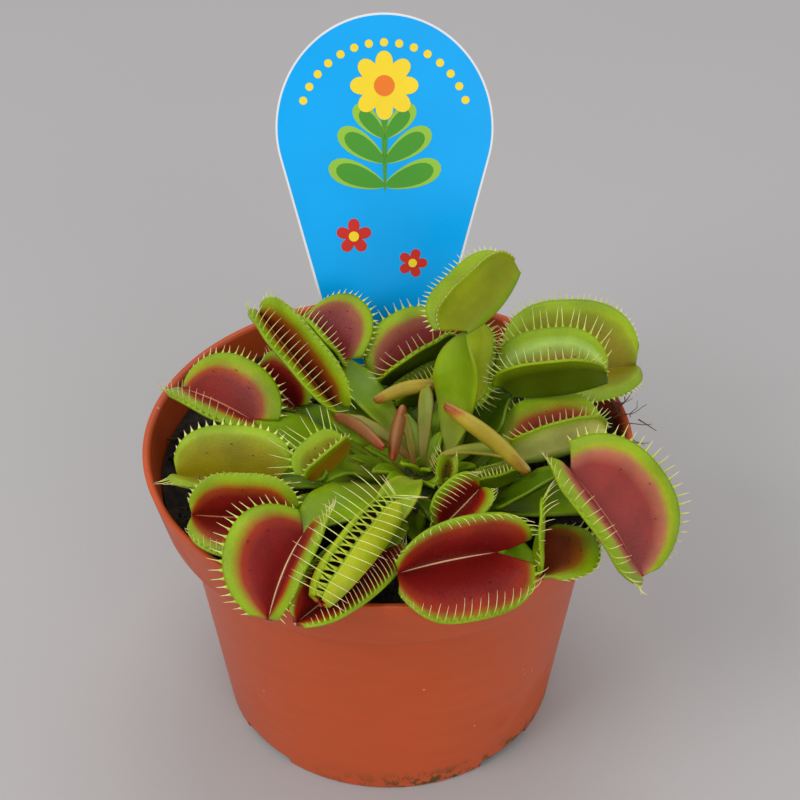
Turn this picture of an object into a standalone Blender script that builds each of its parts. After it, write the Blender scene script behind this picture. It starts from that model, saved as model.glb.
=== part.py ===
"""Potted venus flytrap: a plastic nursery pot, its peat, a stake label and a rosette of trap leaves.

Sizes are millimetres in this file and metres in the scene. The frame's origin is the middle of the pot's
flat base, +Z is up, and -Y is the side that the label faces.
"""

import math
from typing import NamedTuple

import bmesh
import bpy
import numpy as np
from mathutils import Matrix, Vector
from mathutils.bvhtree import BVHTree

MM = 0.001
TURN_STEPS = 64
SEAT = 0.3            # gap between pieces that touch

# Pot: a 12 cm round nursery pot with a deep collar.
RIM_RADIUS = 60.0
POT_HEIGHT = 81.0
COLLAR_BOTTOM = 66.0
COLLAR_RADIUS = 56.6
BODY_TOP = 63.0
BODY_RADIUS = 51.4
BASE_RADIUS = 43.8
WALL = 1.3
FLOOR = 1.5
EDGE_ROUND = 0.7
DRAIN_COUNT = 4
DRAIN_WIDTH = 17.0
DRAIN_HEIGHT = 2.2
DRAIN_DEPTH = 5.0
DRAIN_START = -137.0

# Peat
SOIL_TOP = 71.0
SOIL_MOUND = 0.8

# Crown: the low bulb that every leaf grows from.
CROWN_CENTRE = (8.0, -12.0)
CROWN_RADIUS = 10.0
CROWN_HEIGHT = 8.5
CROWN_LEVEL = 71.0
CROWN_ROOT = 60.0
RING_LATITUDE = {"low": 15.0, "middle": 38.0, "high": 58.0, "top": 76.0}

# Stake label: a round head that runs down to a point in the peat.
LABEL_HEAD = 27.3
LABEL_TOP = 28.6
LABEL_POINT = 108.0
LABEL_THICK = 0.8
LABEL_LEAN = 20.0
LABEL_PLACE = (-0.5, 52.8, 136.0)

# Leaves
BLADE = 0.8
STALK_ROWS = 7
STALK_NARROW = 2.2    # stalk width at the crown and at the neck
STALK_TROUGH = 0.3    # rise of the stalk's wings over their half width
HINGE_WIDTH = 1.5
KEEL = 0.4            # depth of the midrib's fold
LOBE_RINGS = (0.4, 0.8)
LOBE_CELLS = 8
LOBE_END = 13.0       # degrees left open at each end of a lobe's outline
TOOTH_BASE = 1.4
TOOTH_PLACE = {-1: 0.25, 1: 0.75}    # place of a tooth in its cell, so that the two rows interlock
TOOTH_CLEAR = 1.3
TOOTH_LEAST = 1.5
TOOTH_TESTS = 8


class Leaf(NamedTuple):
    """One leaf: a winged stalk from the crown to the neck, and the trap that starts at the neck."""

    name: str
    ring: str                    # where on the crown the stalk starts
    bearing: float               # and in which direction, degrees from +X
    neck: tuple                  # where the trap's midrib starts
    heading: float               # direction of the midrib from the neck, degrees from +X
    pitch: float                 # its rise
    lobes: tuple                 # left and right lobe, degrees from upright about the midrib
    midrib: float                # midrib length
    width: float                 # a lobe's width from the midrib to its margin
    stalk: float = 9.0           # widest part of the stalk
    arch: float = 4.0            # rise of the stalk's middle above a straight line
    sway: float = 0.0            # and its shift to the right, seen from the crown
    teeth: float = 7.5           # length of the longest teeth
    lean: float = 45.0           # their turn towards the opposite lobe
    bulge: float = 0.06          # swell of the lobes towards each other, as a part of their width
    cells: int = LOBE_CELLS      # teeth on each lobe
    length: float = 1.45         # lobe length as a multiple of the midrib's
    curl: float = 1.0            # how far the midrib's ends bend towards the mouth


LEAVES = (
    # outer leaves, clockwise from the left when the label faces the viewer
    Leaf("leaf_01", "low", 168, (-33, 0.7, 85), 146, 4, (-57, 44), 17.5, 12, stalk=12, curl=-0.7,
         length=1.65),
    Leaf("leaf_02", "low", 189, (-26, -23, 84), 170, -4, (-52, 25), 20, 13, stalk=10, arch=5),
    Leaf("leaf_03", "low", 213, (-24, -36, 85), 180, 4, (-88, 0), 17, 12, stalk=10, arch=2),
    Leaf("leaf_04", "middle", 228, (-19, -45, 90), -112, -18, (-34, 56), 17, 13.5, stalk=14, curl=-1.2,
         length=1.6),
    Leaf("leaf_05", "high", 256, (-1, -45, 89.5), -123, -7, (-9, -7), 21, 12.5, lean=70, bulge=-0.28),
    Leaf("leaf_06", "low", 246, (-2.6, -44, 81.2), -128, 2, (-62, 11), 25, 10.3, length=1.35),
    Leaf("leaf_07", "low", 286, (23.5, -46.3, 84.5), -162, 3, (-103, -18), 18, 15, arch=-2, sway=-4,
         length=1.75),
    Leaf("leaf_08", "low", 306, (33.6, -38, 82.3), -97, -3, (-80, -6), 13, 13.5, stalk=5, arch=-6,
         length=1.3),
    Leaf("leaf_09", "low", 326, (41, -32.5, 96.5), -44, -38, (-70, 48), 24, 17, stalk=13, arch=-2, sway=5,
         curl=-1.0),
    Leaf("leaf_10", "low", 350, (30.8, -15.2, 83.2), 13, 8, (-47, 14), 19, 14.5, length=1.35),
    Leaf("leaf_11", "low", 48, (34, 18, 86), 0, 1, (-40, 74), 24, 17.5, stalk=12),
    Leaf("leaf_12", "middle", 12, (30, -3, 94), -6, 12, (-33, 20), 19, 15, stalk=11),
    Leaf("leaf_13", "high", 25, (19, -3.2, 112.7), 36, 28, (-60, -12), 14, 13.5, stalk=13, length=1.75),
    Leaf("leaf_14", "middle", 58, (16, -2, 95), 80, 40, (72, 100), 14, 8.5, stalk=6),
    Leaf("leaf_15", "low", 100, (0.5, 13, 85.3), 22, 24, (-38, 29), 18, 14.5, stalk=9, arch=0, sway=-3,
         length=1.3),
    Leaf("leaf_16", "high", 122, (-11, 15, 92.5), 138, 16, (-30, 46), 13, 13.5, stalk=9, arch=6, sway=-5,
         curl=-0.6),
    Leaf("leaf_17", "middle", 146, (-14, 3, 88), 131, 23, (-38, 2), 25, 12, stalk=12, arch=1),
    # smaller leaves between them
    Leaf("leaf_18", "low", 150, (-23, 12, 79), 130, 14, (-50, 20), 13, 9, stalk=8, teeth=5, cells=7),
    Leaf("leaf_19", "middle", 203, (-17, -26, 87), 42, 15, (-45, 8), 10, 8.5, stalk=6, arch=8, teeth=7,
         cells=7),
    Leaf("leaf_20", "middle", 272, (12, -34, 80.5), 45, 15, (-8, 58), 11, 8.5, stalk=6, teeth=5, cells=7),
    Leaf("leaf_21", "high", 312, (13, -24.5, 83.5), 80, 10, (-15, 20), 6, 5, stalk=4, arch=2, teeth=4,
         cells=5),
    Leaf("leaf_22", "middle", 306, (21.6, -23.4, 82.8), 18, 3, (-18, 12), 7.6, 4.8, stalk=4, arch=5,
         teeth=3, cells=6),
    Leaf("leaf_23", "middle", 85, (4, 6.5, 83.5), 28, 14, (-14, 14), 12, 7.5, stalk=5, teeth=4, cells=6),
    # young leaves, whose shut traps are still folded back over their stalks
    Leaf("young_leaf_1", "top", 85, (9.5, 2.5, 95.5), -167, -8, (165, 195), 11, 2.4, stalk=5, teeth=0,
         cells=5),
    Leaf("young_leaf_2", "top", 175, (-11, -6, 92), -52, 6, (165, 195), 13, 2.0, stalk=5, teeth=0, cells=5),
    Leaf("young_leaf_3", "top", 230, (2.7, -11, 96), -105, -40, (165, 195), 9, 2.2, stalk=4, teeth=0,
         cells=5),
    Leaf("young_leaf_4", "top", 345, (30, -25, 94), 148, 25, (165, 195), 17, 3.0, stalk=6, arch=5,
         teeth=0, cells=5),
)


def unit(vector):
    return vector / np.linalg.norm(vector)


def direction(azimuth, rise):
    """Unit vector from an azimuth and a rise in degrees."""
    a, r = math.radians(azimuth), math.radians(rise)
    return np.array([math.cos(r) * math.cos(a), math.cos(r) * math.sin(a), math.sin(r)])


# ---------------------------------------------------------------- leaf geometry


def crown_seat(leaf):
    """Start point of a stalk, just off the crown's surface, and the direction that it leaves in."""
    around = math.radians(leaf.bearing)
    up = math.radians(RING_LATITUDE[leaf.ring])
    flat = np.array([math.cos(around), math.sin(around), 0.0])
    rise = np.array([0.0, 0.0, 1.0])
    centre = np.array([*CROWN_CENTRE, CROWN_LEVEL])
    surface = centre + flat * CROWN_RADIUS * math.cos(up) + rise * CROWN_HEIGHT * math.sin(up)
    normal = unit(flat * math.cos(up) / CROWN_RADIUS + rise * math.sin(up) / CROWN_HEIGHT)
    return surface + normal * 2 * SEAT, normal


class Trap:
    """Directions of a trap: along the midrib, to its right, and out of its mouth."""

    def __init__(self, leaf):
        self.leaf = leaf
        self.along = direction(leaf.heading, leaf.pitch)
        self.upright = unit(np.array([0, 0, 1.0]) - self.along * self.along[2])
        self.right = np.cross(self.along, self.upright)
        self.mouth = self.around(sum(leaf.lobes) / 2)
        self.side = self.around(sum(leaf.lobes) / 2 + 90)
        self.centre = np.array(leaf.neck, float) + self.along * leaf.midrib / 2

    def around(self, angle):
        """Direction at an angle about the midrib, 0 upright and 90 to the right."""
        a = math.radians(angle)
        return self.upright * math.cos(a) + self.right * math.sin(a)

    def on_midrib(self, along):
        """Point of the curled midrib at a distance from its middle."""
        bend = self.leaf.curl * (2 * along / self.leaf.midrib) ** 2
        return self.centre + self.along * along + self.mouth * bend


def stalk_width(leaf, t):
    """Width of the stalk at t from 0 at the crown to 1 at the neck."""
    return STALK_NARROW + (leaf.stalk - STALK_NARROW) * math.sin(math.pi * t**1.7) ** 0.8


def stalk_rows(leaf, trap):
    """Cross lines of the stalk, each as left edge, midrib and right edge, up to the one before the neck."""
    start, leaving = crown_seat(leaf)
    neck = trap.on_midrib(-leaf.midrib / 2)
    chord = neck - start
    across = unit(np.array([chord[1], -chord[0], 0.0]))
    first = start + leaving * np.linalg.norm(chord) * 0.3
    second = start + chord * 0.62 + across * leaf.sway + np.array([0, 0, leaf.arch])
    outward = unit(neck * [1, 1, 0] - [*CROWN_CENTRE, 0])
    rows = []
    for i in range(STALK_ROWS):
        t = i / STALK_ROWS
        s = 1 - t
        point = s**3 * start + 3 * s * s * t * first + 3 * s * t * t * second + t**3 * neck
        tangent = unit(s * s * (first - start) + 2 * s * t * (second - first) + t * t * (neck - second))
        side = unit(np.cross(tangent, np.array([0, 0, 1.0]) - 0.5 * outward))
        turn = max(0.0, (t - 0.6) / 0.4) ** 2
        side = unit(side * (1 - turn) + trap.side * turn)
        half = stalk_width(leaf, t) / 2
        lift = np.cross(side, tangent) * half * STALK_TROUGH
        rows.append((point - side * half + lift, point, point + side * half + lift))
    return rows


def lobe_cell(leaf, i):
    """Places along the midrib of line i of a lobe, at its root and at its margin, and its margin's width."""
    share = i / leaf.cells
    end = math.radians(LOBE_END)
    angle = math.pi - end - (math.pi - 2 * end) * share
    half = leaf.midrib / 2
    along = half * leaf.length * math.copysign(abs(math.cos(angle)) ** 0.85, math.cos(angle))
    return leaf.midrib * (share - 0.5), along, leaf.width * math.sin(angle) ** 0.8


class Sheet:
    """Open surface of one leaf: points, faces with their material, and the teeth on its margins."""

    def __init__(self):
        self.points = []
        self.faces = []
        self.inner = []
        self.teeth = []

    def add(self, point):
        self.points.append(np.array(point, float))
        return len(self.points) - 1

    def face(self, corners, flip=False, inner=False):
        self.faces.append(corners[::-1] if flip else corners)
        self.inner.append(inner)

    def tree(self):
        return BVHTree.FromPolygons([Vector(p) for p in self.points], self.faces)


class Tooth(NamedTuple):
    """A tooth's root edge on the margin, the direction it points in and its length."""

    near: int
    far: int
    root: np.ndarray
    aim: np.ndarray
    size: float
    flip: bool


def leaf_sheet(leaf):
    sheet = Sheet()
    trap = Trap(leaf)
    rows = [[sheet.add(p) for p in row] for row in stalk_rows(leaf, trap)]
    for i in range(leaf.cells + 1):
        point = trap.on_midrib(lobe_cell(leaf, i)[0])
        gap = trap.side * HINGE_WIDTH / 2
        rows.append([sheet.add(p) for p in (point - gap, point - trap.mouth * KEEL, point + gap)])
    for lower, upper in zip(rows, rows[1:]):
        for k in (0, 1):
            sheet.face((lower[k], lower[k + 1], upper[k + 1], upper[k]))
    for side, column in ((-1, 0), (1, 2)):
        add_lobe(sheet, leaf, trap, side, [row[column] for row in rows[STALK_ROWS:]])
    return sheet


def add_lobe(sheet, leaf, trap, side, hinge):
    """One lobe, from its points on the midrib out to its margin; side is -1 for left and 1 for right."""
    angle = leaf.lobes[0] if side < 0 else leaf.lobes[1]
    outward = trap.around(angle)
    inward = trap.around(angle - 90 * side)
    margin = []
    lines = []
    for i, root in enumerate(hinge):
        _, along, width = lobe_cell(leaf, i)
        start = sheet.points[root]
        end = trap.on_midrib(along) + outward * width + trap.side * side * HINGE_WIDTH / 2
        swell = inward * leaf.bulge * math.sqrt(width * leaf.width)
        line = [start + (end - start) * r + swell * math.sin(math.pi * r) for r in LOBE_RINGS]
        lines.append([root] + [sheet.add(p) for p in line] + [sheet.add(end)])
        margin.append(end)
    for i, (line, after) in enumerate(zip(lines, lines[1:])):
        for k in range(len(LOBE_RINGS)):
            sheet.face((line[k], line[k + 1], after[k + 1], after[k]), side < 0, inner=True)
        if not leaf.teeth:
            sheet.face((line[-2], line[-1], after[-1], after[-2]), side < 0)
            continue
        edge = margin[i + 1] - margin[i]
        share = TOOTH_BASE / np.linalg.norm(edge)
        place = TOOTH_PLACE[side] * (1 - share)
        ends = [margin[i] + edge * place, margin[i] + edge * (place + share)]
        near, far = sheet.add(ends[0]), sheet.add(ends[1])
        sheet.face((line[-2], line[-1], near, far, after[-1], after[-2]), side < 0)
        root = (ends[0] + ends[1]) / 2
        out = unit(root - (sheet.points[line[-2]] + sheet.points[after[-2]]) / 2)
        lean = math.radians(leaf.lean)
        aim = unit(out * math.cos(lean) + inward * math.sin(lean))
        size = leaf.teeth * (0.65 + 0.35 * math.sin(math.pi * (i + 0.5) / leaf.cells))
        sheet.teeth.append(Tooth(near, far, root, aim, size, side < 0))


def segment_gaps(point, starts, ends):
    """Distance from a point to each of a set of straight segments."""
    runs = ends - starts
    t = np.clip(((point - starts) * runs).sum(1) / (runs * runs).sum(1), 0, 1)
    return np.linalg.norm(starts + runs * t[:, None] - point, axis=1)


def free_length(tooth, trees, starts, ends):
    """Length that a tooth can have before it comes near a blade or another leaf's tooth."""
    for k in range(1, TOOTH_TESTS + 1):
        reach = tooth.size * k / TOOTH_TESTS
        point = tooth.root + tooth.aim * reach
        near = any(tree.find_nearest(Vector(point), TOOTH_CLEAR)[0] for tree in trees)
        if near or (len(starts) and segment_gaps(point, starts, ends).min() < TOOTH_CLEAR):
            return tooth.size * (k - 1) / TOOTH_TESTS
    return tooth.size


def add_teeth(sheets, fixed):
    """Stand the teeth on every leaf's margins, each cut short of what it would run into."""
    trees = [sheet.tree() for sheet in sheets]
    placed = [(np.zeros((0, 3)), np.zeros((0, 3))) for _ in sheets]
    for index, sheet in enumerate(sheets):
        others = [tree for k, tree in enumerate(trees) if k != index] + fixed
        starts = np.vstack([pair[0] for pair in placed])
        ends = np.vstack([pair[1] for pair in placed])
        roots, tips = [], []
        for tooth in sheet.teeth:
            size = free_length(tooth, others, starts, ends)
            if size < TOOTH_LEAST:
                continue
            tip = tooth.root + tooth.aim * size
            sheet.face((tooth.far, tooth.near, sheet.add(tip)), tooth.flip)
            roots.append(tooth.root)
            tips.append(tip)
        if roots:
            placed[index] = (np.array(roots), np.array(tips))


# ---------------------------------------------------------------- scene objects


def material(name, colour, roughness):
    made = bpy.data.materials.new(name)
    made.use_nodes = True
    shader = made.node_tree.nodes["Principled BSDF"]
    shader.inputs["Base Color"].default_value = (*colour, 1)
    shader.inputs["Roughness"].default_value = roughness
    shader.inputs["Metallic"].default_value = 0.0
    return made


def link(name, mesh, collection, materials=()):
    made = bpy.data.objects.new(name, mesh)
    collection.objects.link(made)
    for each in materials:
        mesh.materials.append(each)
    return made


def turned(name, profile, collection, materials=(), steps=TURN_STEPS, place=(0, 0)):
    """Solid of revolution from (radius, height) points that run down its outer side."""
    mesh = bpy.data.meshes.new(name)
    points = [(r * MM, 0, z * MM) for r, z in profile]
    mesh.from_pydata(points, [(i, i + 1) for i in range(len(points) - 1)], [])
    made = link(name, mesh, collection, materials)
    made.location = (place[0] * MM, place[1] * MM, 0)
    screw = made.modifiers.new("turn", "SCREW")
    screw.steps = screw.render_steps = steps
    screw.use_merge_vertices = True
    screw.merge_threshold = 0.00001
    screw.use_smooth_shade = True
    return made


def pot_inside():
    """Inner side of the pot's wall, bottom to top."""
    return [
        (BASE_RADIUS - WALL, FLOOR),
        (BODY_RADIUS - WALL, BODY_TOP),
        (COLLAR_RADIUS - WALL, COLLAR_BOTTOM),
        (RIM_RADIUS - WALL - EDGE_ROUND, POT_HEIGHT - EDGE_ROUND),
    ]


def inside_radius(height):
    radii, heights = zip(*pot_inside())
    return float(np.interp(height, heights, radii))


def make_pot(collection, cutters):
    outside = [
        (RIM_RADIUS - WALL, POT_HEIGHT),
        (RIM_RADIUS - EDGE_ROUND, POT_HEIGHT),
        (RIM_RADIUS, POT_HEIGHT - EDGE_ROUND),
        (COLLAR_RADIUS, COLLAR_BOTTOM),
        (BODY_RADIUS, BODY_TOP),
        (BASE_RADIUS, EDGE_ROUND),
        (BASE_RADIUS - EDGE_ROUND, 0),
    ]
    profile = [(0, FLOOR)] + pot_inside() + outside + [(0, 0)]
    plastic = material("terracotta plastic", (0.42, 0.082, 0.037), 0.42)
    pot = turned("pot", profile, collection, [plastic])
    for i in range(DRAIN_COUNT):
        angle = math.radians(DRAIN_START + 360 * i / DRAIN_COUNT)
        bpy.ops.mesh.primitive_cube_add(size=1)
        slot = bpy.context.object
        slot.name = f"drain_cutter_{i + 1}"
        size = Vector((2 * DRAIN_DEPTH, DRAIN_WIDTH, 2 * DRAIN_HEIGHT)) * MM
        slot.data.transform(Matrix.Diagonal((*size, 1)))
        slot.location = Vector((math.cos(angle), math.sin(angle), 0)) * BASE_RADIUS * MM
        slot.rotation_euler.z = angle
        cut(pot, slot, cutters)
    return pot


def cut(target, cutter, cutters):
    """Cut one object out of another, and put the cutter away."""
    for collection in cutter.users_collection:
        collection.objects.unlink(cutter)
    cutters.objects.link(cutter)
    cutter.hide_render = True
    cutter.display_type = "WIRE"
    boolean = target.modifiers.new(cutter.name, "BOOLEAN")
    boolean.operation = "DIFFERENCE"
    boolean.object = cutter


def make_soil(collection, cutters):
    top = inside_radius(SOIL_TOP) - SEAT
    mound = [(top * r, SOIL_TOP + SOIL_MOUND * (1 - r * r)) for r in (0, 0.35, 0.7, 1)]
    wall = [(r - SEAT, z + (SEAT if z == FLOOR else 0)) for r, z in pot_inside()[2::-1]]
    peat = material("peat", (0.012, 0.009, 0.006), 0.95)
    soil = turned("soil", mound + wall + [(0, FLOOR + SEAT)], collection, [peat])
    hole = [(0, POT_HEIGHT), (CROWN_RADIUS + SEAT, POT_HEIGHT), (CROWN_RADIUS + SEAT, CROWN_ROOT - SEAT)]
    hole.append((0, CROWN_ROOT - SEAT))
    cut(soil, turned("crown_cutter", hole, cutters, steps=32, place=CROWN_CENTRE), cutters)
    cut(soil, label_plate("label_cutter", cutters, SEAT), cutters)
    return soil


def make_crown(collection):
    arc = [math.radians(a) for a in (90, 72, 54, 36, 18, 0)]
    dome = [(CROWN_RADIUS * math.cos(a), CROWN_LEVEL + CROWN_HEIGHT * math.sin(a)) for a in arc]
    dome[0] = (0, CROWN_LEVEL + CROWN_HEIGHT)
    foot = [(CROWN_RADIUS * 0.8, CROWN_ROOT), (0, CROWN_ROOT)]
    skin = material("crown skin", (0.25, 0.33, 0.06), 0.6)
    return turned("crown", dome + foot, collection, [skin], steps=32, place=CROWN_CENTRE)


def label_outline(grow):
    """Half outline of the label from its top to its point: a round head, then straight to the point."""
    tangent = math.asin(LABEL_HEAD / LABEL_POINT)
    angles = np.linspace(math.pi / 2, -tangent, 15)
    head = [(LABEL_HEAD * math.cos(a), (LABEL_TOP if a > 0 else LABEL_HEAD) * math.sin(a)) for a in angles]
    tip = [(1.0, -LABEL_POINT + 2.5), (0, -LABEL_POINT)]
    return [(x + (grow if x > 0.5 else 0), y - (grow if y < -LABEL_HEAD else 0)) for x, y in head + tip]


def label_plate(name, collection, grow=0.0, materials=()):
    half = label_outline(grow)
    outline = half + [(-x, y) for x, y in half[-2:0:-1]]
    curve = bpy.data.curves.new(name, "CURVE")
    curve.dimensions = "2D"
    curve.fill_mode = "BOTH"
    curve.extrude = (LABEL_THICK / 2 + grow) * MM
    spline = curve.splines.new("POLY")
    spline.points.add(len(outline) - 1)
    for point, (x, y) in zip(spline.points, outline):
        point.co = (x * MM, y * MM, 0, 1)
    spline.use_cyclic_u = True
    flat = bpy.data.objects.new(name + "_outline", curve)
    collection.objects.link(flat)
    bpy.context.view_layer.update()
    mesh = bpy.data.meshes.new_from_object(flat.evaluated_get(bpy.context.evaluated_depsgraph_get()))
    welded = bmesh.new()
    welded.from_mesh(mesh)
    bmesh.ops.remove_doubles(welded, verts=welded.verts, dist=0.00001)
    welded.to_mesh(mesh)
    welded.free()
    bpy.data.objects.remove(flat)
    mesh.materials.clear()
    plate = link(name, mesh, collection, materials)
    plate.location = Vector(LABEL_PLACE) * MM
    plate.rotation_euler.x = math.radians(90 - LABEL_LEAN)
    return plate


def make_label(collection):
    return label_plate("plant_label", collection, 0.0, [material("label print", (0.0, 0.42, 0.95), 0.35)])


def make_leaf(leaf, sheet, collection, materials):
    mesh = bpy.data.meshes.new(leaf.name)
    built = bmesh.new()
    corners = [built.verts.new(Vector(p) * MM) for p in sheet.points]
    for face, inner in zip(sheet.faces, sheet.inner):
        made = built.faces.new([corners[k] for k in face])
        made.material_index = 1 if inner else 0
        made.smooth = True
    bmesh.ops.triangulate(built, faces=built.faces)
    built.to_mesh(mesh)
    built.free()
    made = link(leaf.name, mesh, collection, materials)
    blade = made.modifiers.new("blade", "SOLIDIFY")
    blade.thickness = BLADE * MM
    blade.offset = 0.0
    blade.use_even_offset = leaf.teeth > 0    # a folded young trap would get spikes
    blade.material_offset = -1
    return made


def world_tree(made):
    """Search tree of an object's evaluated mesh, in millimetres."""
    shape = made.evaluated_get(bpy.context.evaluated_depsgraph_get())
    mesh = shape.to_mesh()
    points = [made.matrix_world @ v.co / MM for v in mesh.vertices]
    tree = BVHTree.FromPolygons(points, [tuple(p.vertices) for p in mesh.polygons])
    shape.to_mesh_clear()
    return tree


def new_collection(name):
    made = bpy.data.collections.new(name)
    bpy.context.scene.collection.children.link(made)
    return made


def main():
    for old in list(bpy.data.objects):
        bpy.data.objects.remove(old)
    parts = new_collection("potted_venus_flytrap")
    cutters = new_collection("cutters")
    fixed = [
        make_pot(parts, cutters),
        make_soil(parts, cutters),
        make_crown(parts),
        make_label(parts),
    ]
    bpy.context.view_layer.update()
    sheets = [leaf_sheet(leaf) for leaf in LEAVES]
    add_teeth(sheets, [world_tree(each) for each in fixed])
    blade = material("leaf green", (0.22, 0.34, 0.02), 0.45)
    lining = material("trap lining", (0.28, 0.02, 0.01), 0.4)
    for leaf, sheet in zip(LEAVES, sheets):
        make_leaf(leaf, sheet, parts, [blade, lining])
    root = bpy.data.objects.new("flytrap_origin", None)
    parts.objects.link(root)
    for each in parts.objects:
        if each is not root:
            each.parent = root


main()
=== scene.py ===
"""Looks of the potted venus flytrap: fine leaves with cilia and colour, peat, the pot's finish and the label.

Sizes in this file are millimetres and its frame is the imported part's: the origin is the middle of the pot's
flat base, +Z is up and -Y is the side that the label faces. The scene itself is in metres.
"""

import random
from math import asin, copysign, cos, dist, exp, pi, radians, sin, sqrt
from typing import NamedTuple

import bmesh
import bpy
import numpy as np
from mathutils import Euler, Matrix, Vector, noise
from mathutils.bvhtree import BVHTree
from numpy.linalg import norm


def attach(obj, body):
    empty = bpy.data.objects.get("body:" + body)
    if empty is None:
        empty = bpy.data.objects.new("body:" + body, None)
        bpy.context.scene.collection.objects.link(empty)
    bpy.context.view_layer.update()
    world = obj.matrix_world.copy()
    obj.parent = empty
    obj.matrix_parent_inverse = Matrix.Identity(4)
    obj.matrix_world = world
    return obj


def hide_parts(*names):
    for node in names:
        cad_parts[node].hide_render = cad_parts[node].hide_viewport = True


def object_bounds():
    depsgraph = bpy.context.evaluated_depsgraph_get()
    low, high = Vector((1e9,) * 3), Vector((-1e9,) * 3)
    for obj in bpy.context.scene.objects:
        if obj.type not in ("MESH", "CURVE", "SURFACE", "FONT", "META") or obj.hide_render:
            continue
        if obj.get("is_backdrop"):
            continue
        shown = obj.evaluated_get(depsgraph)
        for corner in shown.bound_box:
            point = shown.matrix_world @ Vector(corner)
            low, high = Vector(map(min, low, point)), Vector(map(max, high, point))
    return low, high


MM = 0.001
SEED = 11

# Camera, fitted to the pot's rim and base
CAMERA_PLACE = (0.0, -297.7, 319.9)
CAMERA_DOWN = 37.54
CAMERA_TURN = -0.55
CAMERA_LENS = 70.0

# Pot
POT_OUTLINE = ((43.8, 0), (51.4, 63), (56.6, 66), (60, 81))  # outer radius and height
FOOT_HEIGHTS = (40, 20, 8, 4, 3)  # of further rings, close together where the notches are
WALL = 1.3
FLOOR = 1.5
LIP = 0.7  # bevel inside the rim
POT_ROUND = 0.8  # radius of the pot's edges
POT_STEPS = 192
DRAIN_COUNT = 4
DRAIN_WIDTH = 17.0
DRAIN_HEIGHT = 2.2
DRAIN_DEPTH = 5.0
DRAIN_START = -137.0

# Peat
SOIL_TOP = 71.0
SOIL_MOUND = 0.8
SOIL_GAP = 0.4
PEAT_RINGS = 46
PEAT_STEPS = 120
HEAP_PLACE = (57, 4)  # where the peat is heaped against the wall
HEAP_RISE = 9
HEAP_SPREAD = 170
CRUMBS = 1500
FIBRES = 170

# Crown: half of a flattened ball
CROWN_MIDDLE = np.array([8.0, -12.0, 71.0])
CROWN_SIZE = np.array([10.0, 10.0, 8.5])
CROWN_GAP = 0.6  # from the crown's skin to a stalk
RING_LATITUDE = {"low": 15.0, "middle": 38.0, "high": 58.0, "top": 76.0}

# Stake label
LABEL_HEAD = 27.3
LABEL_TOP = 28.6
LABEL_POINT = 108.0
LABEL_THICK = 0.8
LABEL_LEAN = 20.0
LABEL_PLACE = (-0.5, 52.8, 136.0)
LABEL_BORDER = 0.5
PRINT_RISE = 0.04  # step between the label's printed layers
LABEL_INKS = {"green": (74.8, 151.1, 48.4), "lime": (148.9, 195.7, 63.2), "yellow": (245.8, 215.1, 48.4),
              "orange": (236.1, 123.6, 38.7), "red": (203.4, 48.4, 38.7)}
# Printed sprig with three flowers, in millimetres from the middle of the label's head
SPRIG_LEAVES = [(y, bearing, length) for y, turn, length in ((-14, 20, 13), (-8, 35, 12), (-2, 48, 9))
                for bearing in (turn, 180 - turn)]
# ink, start, bearing, length, width and layer of each petal or leaf
LABEL_PETALS = [
    ("green", (0, -16), 90, 27, 2.0, 1),
    *[("lime", (0, y), bearing, length + 2, length / 2 + 2, 1) for y, bearing, length in SPRIG_LEAVES],
    *[("green", (0, y), bearing, length, length / 2, 2) for y, bearing, length in SPRIG_LEAVES],
    *[("yellow", (0, 11), 45 * k, 8.5, 5.6, 3 + k % 2) for k in range(8)],
    *[("red", (-8, -27), 72 * k + 18, 4.6, 3.8, 1 + k % 2) for k in range(5)],
    *[("red", (7, -34), 72 * k, 3.8, 3.2, 1 + k % 2) for k in range(5)],
]
PETAL_POINTS = 20
DOT_POINTS = 24
DOT_ARC = 21.5  # radius of the row of dots
# ink, centre, radius and layer of each dot
LABEL_DOTS = [
    ("orange", (0, 11), 2.6, 5), ("yellow", (-8, -27), 1.3, 3), ("yellow", (7, -34), 1.1, 3),
    *[("yellow", (DOT_ARC * cos(radians(a)), DOT_ARC * sin(radians(a))), 1.0, 1)
      for a in range(20, 161, 10)],
]

# Light
WORLD_LIGHT = 0.59
# Round lamps aimed at the pot: place, height of the aim and width in metres, and power
LAMPS = {"key": ((-0.85, -0.65, 1.1), 0.07, 0.7, 8.5), "fill": ((0.5, -1.1, 0.6), 0.08, 0.9, 4.8),
         "top": ((0.1, 0.5, 1.3), 0.08, 0.8, 4.0)}
FLOOR_REACH = 40

# Leaves
BLADE = 0.8  # thickness of a blade
BLADE_THIN = 0.4  # share of it that is left where a blade is thinnest
STALK_ROWS = 30
STALK_COLUMNS = 8
STALK_NARROW = 2.2  # width of a stalk at its ends
STALK_TROUGH = 0.3  # depth of its trough as a part of its half width
HINGE_WIDTH = 1.5
KEEL = 0.4  # how far the midrib stands out behind
LOBE_RUNS = 44
LOBE_RINGS = 13
LOBE_END = 10.0  # part of the lobe's half turn that is cut off at each end, in degrees
MIDRIB_TIP = 0.42  # share of a lobe's far overhang that the midrib follows
RIM_START = 0.82  # where the flared rim of a lobe starts, hinge 0 and margin 1
RIM_FLARE = 0.05
LOBE_WAVE = 0.045
YOUNG_STALK = 0.72  # width of a young leaf's rolled stalk as a part of a flat one's
YOUNG_BULGE = -0.22
YOUNG_END = 0.5
YOUNG_TIP = 0.5  # share of a young lobe's overhangs that the midrib follows
CILIUM_SIDES = 6
CILIUM_RINGS = 9
CILIUM_ROUND = 0.17  # radius above the broad foot
CILIUM_FOOT = 2.0  # length of the broad foot
CILIUM_CLEAR = 0.45
CILIUM_TURNS = (0, -14, 14, -28, 28)  # changes of lean that are tried where a cilium meets a blade
CILIUM_ENOUGH = 4  # rings clear of other leaves that are enough to keep a lean
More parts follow.
